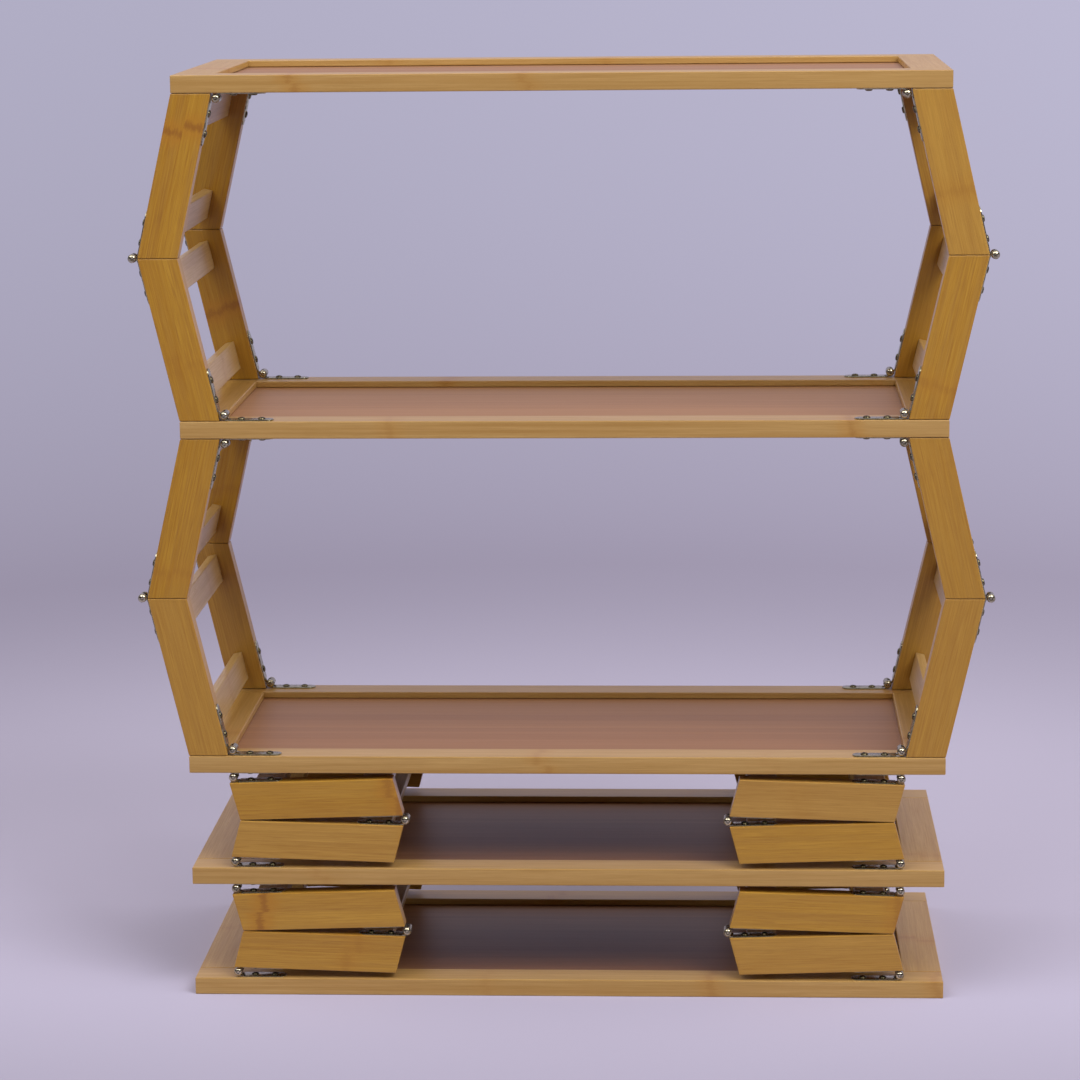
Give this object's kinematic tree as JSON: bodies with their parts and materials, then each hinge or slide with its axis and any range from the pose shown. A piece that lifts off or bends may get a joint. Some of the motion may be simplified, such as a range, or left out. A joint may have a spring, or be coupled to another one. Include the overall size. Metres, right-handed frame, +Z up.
{
  "type": "folding bookstand rack",
  "caption": "Free-standing rack of tray shelves carried by knee-jointed slatted side frames on strap hinges; each tier opens past its dead centre and folds flat between two shelves.",
  "frame": {"origin": "on the floor under the middle of the lowest shelf", "axes": "+Z up, +X across the rack to the right seen from the front, +Y to the back"},
  "size_m": [0.787, 0.3, 0.858],
  "materials": {
    "bamboo": "satin clear lacquer over laminated bamboo strips",
    "brown_bamboo_panel": "satin, carbonised brown bamboo with a fine straight grain",
    "hinge_brass": "antique brass plating on pressed straps"
  },
  "bodies": {
    "shelf_1": {"shelf_1_frame": "bamboo", "shelf_1_panel": "brown_bamboo_panel", "tier_1_foot_left_front_leaf": "hinge_brass", "tier_1_foot_left_back_leaf": "hinge_brass", "tier_1_foot_right_front_leaf": "hinge_brass", "tier_1_foot_right_back_leaf": "hinge_brass"},
    "tier_1_lower_left": {"tier_1_lower_left_frame": "bamboo"},
    "tier_1_upper_left": {"tier_1_upper_left_frame": "bamboo"},
    "tier_1_lower_right": {"tier_1_lower_right_frame": "bamboo"},
    "tier_1_upper_right": {"tier_1_upper_right_frame": "bamboo"},
    "shelf_2": {"shelf_2_frame": "bamboo", "shelf_2_panel": "brown_bamboo_panel", "tier_1_head_left_front_leaf": "hinge_brass", "tier_1_head_left_back_leaf": "hinge_brass", "tier_1_head_right_front_leaf": "hinge_brass", "tier_1_head_right_back_leaf": "hinge_brass", "tier_2_foot_left_front_leaf": "hinge_brass", "tier_2_foot_left_back_leaf": "hinge_brass", "tier_2_foot_right_front_leaf": "hinge_brass", "tier_2_foot_right_back_leaf": "hinge_brass"},
    "tier_2_lower_left": {"tier_2_lower_left_frame": "bamboo"},
    "tier_2_upper_left": {"tier_2_upper_left_frame": "bamboo"},
    "tier_2_lower_right": {"tier_2_lower_right_frame": "bamboo"},
    "tier_2_upper_right": {"tier_2_upper_right_frame": "bamboo"},
    "shelf_3": {"shelf_3_frame": "bamboo", "shelf_3_panel": "brown_bamboo_panel", "tier_2_head_left_front_leaf": "hinge_brass", "tier_2_head_left_back_leaf": "hinge_brass", "tier_2_head_right_front_leaf": "hinge_brass", "tier_2_head_right_back_leaf": "hinge_brass", "tier_3_foot_left_front_leaf": "hinge_brass", "tier_3_foot_left_back_leaf": "hinge_brass", "tier_3_foot_right_front_leaf": "hinge_brass", "tier_3_foot_right_back_leaf": "hinge_brass"},
    "tier_3_lower_left": {"tier_3_lower_left_frame": "bamboo"},
    "tier_3_upper_left": {"tier_3_upper_left_frame": "bamboo"},
    "tier_3_lower_right": {"tier_3_lower_right_frame": "bamboo"},
    "tier_3_upper_right": {"tier_3_upper_right_frame": "bamboo"},
    "shelf_4": {"shelf_4_frame": "bamboo", "shelf_4_panel": "brown_bamboo_panel", "tier_3_head_left_front_leaf": "hinge_brass", "tier_3_head_left_back_leaf": "hinge_brass", "tier_3_head_right_front_leaf": "hinge_brass", "tier_3_head_right_back_leaf": "hinge_brass", "tier_4_foot_left_front_leaf": "hinge_brass", "tier_4_foot_left_back_leaf": "hinge_brass", "tier_4_foot_right_front_leaf": "hinge_brass", "tier_4_foot_right_back_leaf": "hinge_brass"},
    "tier_4_lower_left": {"tier_4_lower_left_frame": "bamboo"},
    "tier_4_upper_left": {"tier_4_upper_left_frame": "bamboo"},
    "tier_4_lower_right": {"tier_4_lower_right_frame": "bamboo"},
    "tier_4_upper_right": {"tier_4_upper_right_frame": "bamboo"},
    "shelf_5": {"shelf_5_frame": "bamboo", "shelf_5_panel": "brown_bamboo_panel", "tier_4_head_left_front_leaf": "hinge_brass", "tier_4_head_left_back_leaf": "hinge_brass", "tier_4_head_right_front_leaf": "hinge_brass", "tier_4_head_right_back_leaf": "hinge_brass"}
  },
  "joints": [
    {"name": "tier_1_left_foot_hinge", "type": "hinge", "parent": "shelf_1", "child": "tier_1_lower_left", "pos_m": [-0.30959, 0, 0.021], "axis": [0, 1, 0], "range_deg": [-104.8, 0]},
    {"name": "tier_1_left_knee_hinge", "type": "hinge", "parent": "tier_1_lower_left", "child": "tier_1_upper_left", "pos_m": [-0.14994, 0, 0.0615], "axis": [0, 1, 0], "range_deg": [0, 209.61]},
    {"name": "tier_1_left_head_hinge", "type": "hinge", "parent": "tier_1_upper_left", "child": "shelf_2", "pos_m": [-0.30959, 0, 0.10199], "axis": [0, 1, 0], "range_deg": [-104.8, 0]},
    {"name": "tier_1_right_foot_hinge", "type": "hinge", "parent": "shelf_1", "child": "tier_1_lower_right", "pos_m": [0.30959, 0, 0.021], "axis": [0, 1, 0], "range_deg": [0, 104.8]},
    {"name": "tier_1_right_knee_hinge", "type": "hinge", "parent": "tier_1_lower_right", "child": "tier_1_upper_right", "pos_m": [0.14994, 0, 0.0615], "axis": [0, 1, 0], "range_deg": [-209.61, 0]},
    {"name": "tier_2_left_foot_hinge", "type": "hinge", "parent": "shelf_2", "child": "tier_2_lower_left", "pos_m": [-0.30959, 0, 0.12799], "axis": [0, 1, 0], "range_deg": [-104.8, 0]},
    {"name": "tier_2_left_knee_hinge", "type": "hinge", "parent": "tier_2_lower_left", "child": "tier_2_upper_left", "pos_m": [-0.14994, 0, 0.16849], "axis": [0, 1, 0], "range_deg": [0, 209.61]},
    {"name": "tier_2_left_head_hinge", "type": "hinge", "parent": "tier_2_upper_left", "child": "shelf_3", "pos_m": [-0.30959, 0, 0.20899], "axis": [0, 1, 0], "range_deg": [-104.8, 0]},
    {"name": "tier_2_right_foot_hinge", "type": "hinge", "parent": "shelf_2", "child": "tier_2_lower_right", "pos_m": [0.30959, 0, 0.12799], "axis": [0, 1, 0], "range_deg": [0, 104.8]},
    {"name": "tier_2_right_knee_hinge", "type": "hinge", "parent": "tier_2_lower_right", "child": "tier_2_upper_right", "pos_m": [0.14994, 0, 0.16849], "axis": [0, 1, 0], "range_deg": [-209.61, 0]},
    {"name": "tier_3_left_foot_hinge", "type": "hinge", "parent": "shelf_3", "child": "tier_3_lower_left", "pos_m": [-0.30959, 0, 0.23499], "axis": [0, 1, 0], "range_deg": [0, 104.8]},
    {"name": "tier_3_left_knee_hinge", "type": "hinge", "parent": "tier_3_lower_left", "child": "tier_3_upper_left", "pos_m": [-0.38953, 0, 0.37899], "axis": [0, 1, 0], "range_deg": [-209.61, 0]},
    {"name": "tier_3_left_head_hinge", "type": "hinge", "parent": "tier_3_upper_left", "child": "shelf_4", "pos_m": [-0.30959, 0, 0.52299], "axis": [0, 1, 0], "range_deg": [0, 104.8]},
    {"name": "tier_3_right_foot_hinge", "type": "hinge", "parent": "shelf_3", "child": "tier_3_lower_right", "pos_m": [0.30959, 0, 0.23499], "axis": [0, 1, 0], "range_deg": [-104.8, 0]},
    {"name": "tier_3_right_knee_hinge", "type": "hinge", "parent": "tier_3_lower_right", "child": "tier_3_upper_right", "pos_m": [0.38953, 0, 0.37899], "axis": [0, 1, 0], "range_deg": [0, 209.61]},
    {"name": "tier_4_left_foot_hinge", "type": "hinge", "parent": "shelf_4", "child": "tier_4_lower_left", "pos_m": [-0.30959, 0, 0.54899], "axis": [0, 1, 0], "range_deg": [0, 104.8]},
    {"name": "tier_4_left_knee_hinge", "type": "hinge", "parent": "tier_4_lower_left", "child": "tier_4_upper_left", "pos_m": [-0.38953, 0, 0.69299], "axis": [0, 1, 0], "range_deg": [-209.61, 0]},
    {"name": "tier_4_left_head_hinge", "type": "hinge", "parent": "tier_4_upper_left", "child": "shelf_5", "pos_m": [-0.30959, 0, 0.83699], "axis": [0, 1, 0], "range_deg": [0, 104.8]},
    {"name": "tier_4_right_foot_hinge", "type": "hinge", "parent": "shelf_4", "child": "tier_4_lower_right", "pos_m": [0.30959, 0, 0.54899], "axis": [0, 1, 0], "range_deg": [-104.8, 0]},
    {"name": "tier_4_right_knee_hinge", "type": "hinge", "parent": "tier_4_lower_right", "child": "tier_4_upper_right", "pos_m": [0.38953, 0, 0.69299], "axis": [0, 1, 0], "range_deg": [0, 209.61]}
  ],
  "couplings": [
    {"joint": "tier_1_left_foot_hinge", "follows": "tier_1_left_head_hinge", "ratio": 1},
    {"joint": "tier_1_left_knee_hinge", "follows": "tier_1_left_head_hinge", "ratio": -2},
    {"joint": "tier_1_right_foot_hinge", "follows": "tier_1_left_head_hinge", "ratio": -1},
    {"joint": "tier_1_right_knee_hinge", "follows": "tier_1_left_head_hinge", "ratio": 2},
    {"joint": "tier_2_left_foot_hinge", "follows": "tier_2_left_head_hinge", "ratio": 1},
    {"joint": "tier_2_left_knee_hinge", "follows": "tier_2_left_head_hinge", "ratio": -2},
    {"joint": "tier_2_right_foot_hinge", "follows": "tier_2_left_head_hinge", "ratio": -1},
    {"joint": "tier_2_right_knee_hinge", "follows": "tier_2_left_head_hinge", "ratio": 2},
    {"joint": "tier_3_left_foot_hinge", "follows": "tier_3_left_head_hinge", "ratio": 1},
    {"joint": "tier_3_left_knee_hinge", "follows": "tier_3_left_head_hinge", "ratio": -2},
    {"joint": "tier_3_right_foot_hinge", "follows": "tier_3_left_head_hinge", "ratio": -1},
    {"joint": "tier_3_right_knee_hinge", "follows": "tier_3_left_head_hinge", "ratio": 2},
    {"joint": "tier_4_left_foot_hinge", "follows": "tier_4_left_head_hinge", "ratio": 1},
    {"joint": "tier_4_left_knee_hinge", "follows": "tier_4_left_head_hinge", "ratio": -2},
    {"joint": "tier_4_right_foot_hinge", "follows": "tier_4_left_head_hinge", "ratio": -1},
    {"joint": "tier_4_right_knee_hinge", "follows": "tier_4_left_head_hinge", "ratio": 2}
  ]
}
